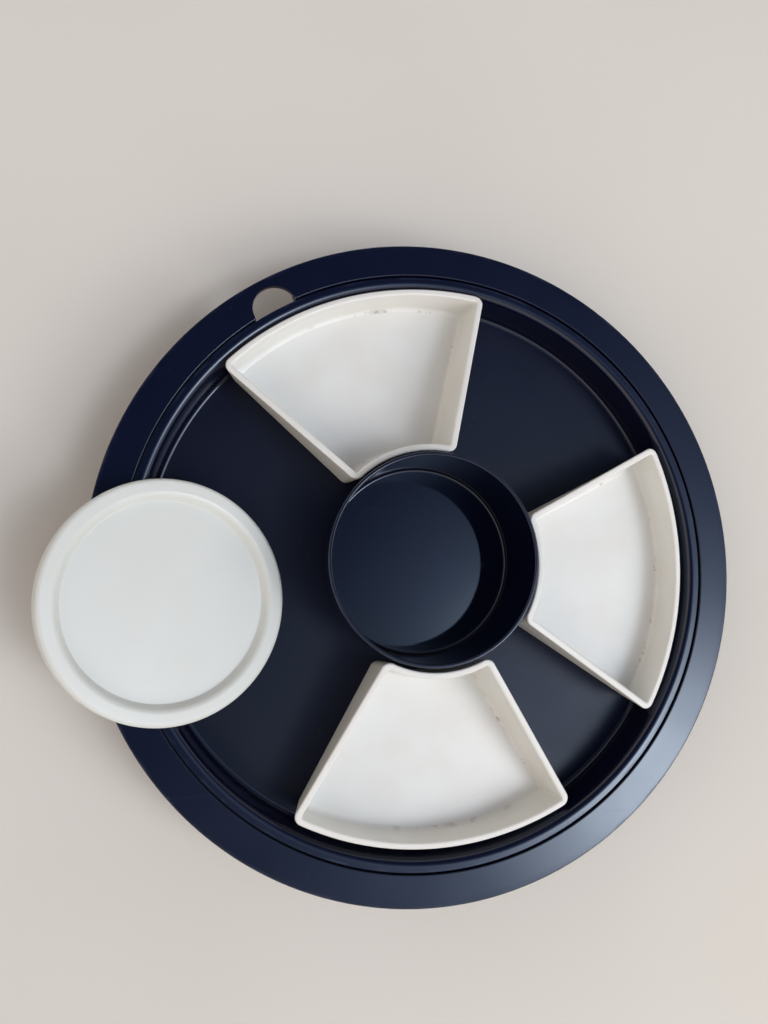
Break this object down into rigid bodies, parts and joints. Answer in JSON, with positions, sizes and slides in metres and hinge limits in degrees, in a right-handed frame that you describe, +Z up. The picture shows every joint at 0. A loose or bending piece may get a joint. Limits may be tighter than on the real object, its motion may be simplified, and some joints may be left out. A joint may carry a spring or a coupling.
{
  "type": "chip and dip server",
  "caption": "Round serving platter in dark plastic with a drop-in tray, a straight-sided dip bowl with its press-on lid, and loose wedge-shaped dishes around the bowl.",
  "frame": {"origin": "on the table, under the axis of the round platter, in the plane of its foot ring", "axes": "+Z up along the platter's axis, +X towards the right-hand dish, +Y towards the finger hole's side"},
  "size_m": [0.3576, 0.34, 0.0682],
  "materials": {
    "navy_satin": "satin moulded plastic",
    "navy_matt": "fine matt moulded plastic",
    "navy_gloss": "glossy moulded plastic",
    "white_satin": "satin moulded plastic"
  },
  "bodies": {
    "base_platter": {"base_platter": "navy_satin"},
    "serving_tray": {"serving_tray": "navy_matt"},
    "dip_bowl": {"dip_bowl": "navy_gloss"},
    "bowl_seal": {"bowl_seal": "white_satin"},
    "wedge_dish_top": {"wedge_dish_top": "white_satin"},
    "wedge_dish_right": {"wedge_dish_right": "white_satin"},
    "wedge_dish_bottom": {"wedge_dish_bottom": "white_satin"}
  },
  "joints": [
    {"name": "tray_lift", "type": "slide", "parent": "base_platter", "child": "serving_tray", "axis": [0, 0, 1], "range_m": [0, 0.06]},
    {"name": "bowl_lift", "type": "slide", "parent": "serving_tray", "child": "dip_bowl", "axis": [0, 0, 1], "range_m": [0, 0.07]},
    {"name": "seal_lift", "type": "slide", "parent": "serving_tray", "child": "bowl_seal", "axis": [0, 0, 1], "range_m": [0, 0.06]},
    {"name": "top_dish_lift", "type": "slide", "parent": "serving_tray", "child": "wedge_dish_top", "axis": [0, 0, 1], "range_m": [0, 0.06]},
    {"name": "right_dish_lift", "type": "slide", "parent": "serving_tray", "child": "wedge_dish_right", "axis": [0, 0, 1], "range_m": [0, 0.06]},
    {"name": "bottom_dish_lift", "type": "slide", "parent": "serving_tray", "child": "wedge_dish_bottom", "axis": [0, 0, 1], "range_m": [0, 0.06]}
  ]
}
